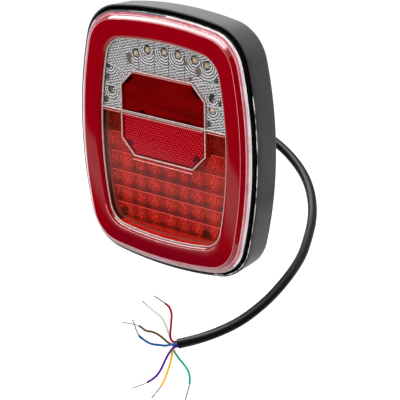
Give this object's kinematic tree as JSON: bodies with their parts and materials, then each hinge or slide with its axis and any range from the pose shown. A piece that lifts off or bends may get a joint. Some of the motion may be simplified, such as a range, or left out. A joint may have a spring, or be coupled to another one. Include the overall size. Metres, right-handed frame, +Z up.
{
  "type": "trailer tail light",
  "caption": "Barrel-shaped sealed LED trailer tail light: raised red ring round a clear, red and octagonal fog and reflex window, two rear studs, and a free cable with bared wires.",
  "frame": {"origin": "centre of the rear mounting face, midway between the two studs", "axes": "-Y out of the lens (the lamp's front), +Z up, +X to the right seen from the front; the studs point along +Y"},
  "size_m": [0.2139, 0.2368, 0.2306],
  "materials": {
    "housing": "matte",
    "zinc_steel": "zinc plated",
    "black_rubber": "matte",
    "cable_black": "satin",
    "natural_nylon": "satin",
    "board_white": "satin",
    "led_amber": "gloss",
    "led_white": "gloss",
    "led_red": "gloss",
    "chip_black": "matte",
    "capacitor_sleeve": "satin",
    "tray_silver": "metallised",
    "clear_lens": "clear gloss",
    "optic_red": "prismatic",
    "lens_red": "transparent gloss",
    "lens_dark_red": "transparent gloss",
    "weld_bead": "satin",
    "ring_red": "gloss",
    "insulation_red": "satin",
    "insulation_white": "satin",
    "insulation_brown": "satin",
    "insulation_blue": "satin",
    "insulation_violet": "satin",
    "insulation_yellow": "satin",
    "insulation_green": "satin",
    "tinned_copper": "tinned strands"
  },
  "bodies": {
    "root": {"rear_housing": "housing", "mounting_studs": "zinc_steel", "cable_gland": "black_rubber", "inner_cable": "cable_black", "cable_tie": "natural_nylon", "wire_terminal": "natural_nylon", "vent_plug": "black_rubber", "circuit_board": "board_white", "board_screws": "zinc_steel", "indicator_leds": "led_amber", "reversing_leds": "led_white", "stop_tail_leds": "led_red", "fog_leds": "led_red", "ring_leds": "led_red", "resistors": "chip_black", "driver_chips": "chip_black", "capacitors": "capacitor_sleeve", "reflector_tray": "tray_silver", "ring_light_guide": "clear_lens", "lower_optic": "optic_red", "upper_lens": "clear_lens", "lower_lens": "lens_red", "fog_lens": "lens_dark_red", "reflex_reflector": "lens_dark_red", "reflex_backing": "housing", "divider_bead": "weld_bead", "window_bead": "weld_bead", "ring_lens": "ring_red", "border_lens": "clear_lens", "adhesive_bead": "black_rubber", "cable_sheath": "cable_black", "wire_red": "insulation_red", "wire_white": "insulation_white", "wire_brown": "insulation_brown", "wire_blue": "insulation_blue", "wire_violet": "insulation_violet", "wire_yellow": "insulation_yellow", "wire_green": "insulation_green", "tip_red": "tinned_copper", "tip_white": "tinned_copper", "tip_brown": "tinned_copper", "tip_blue": "tinned_copper", "tip_violet": "tinned_copper", "tip_yellow": "tinned_copper", "tip_green": "tinned_copper"}
  },
  "joints": []
}
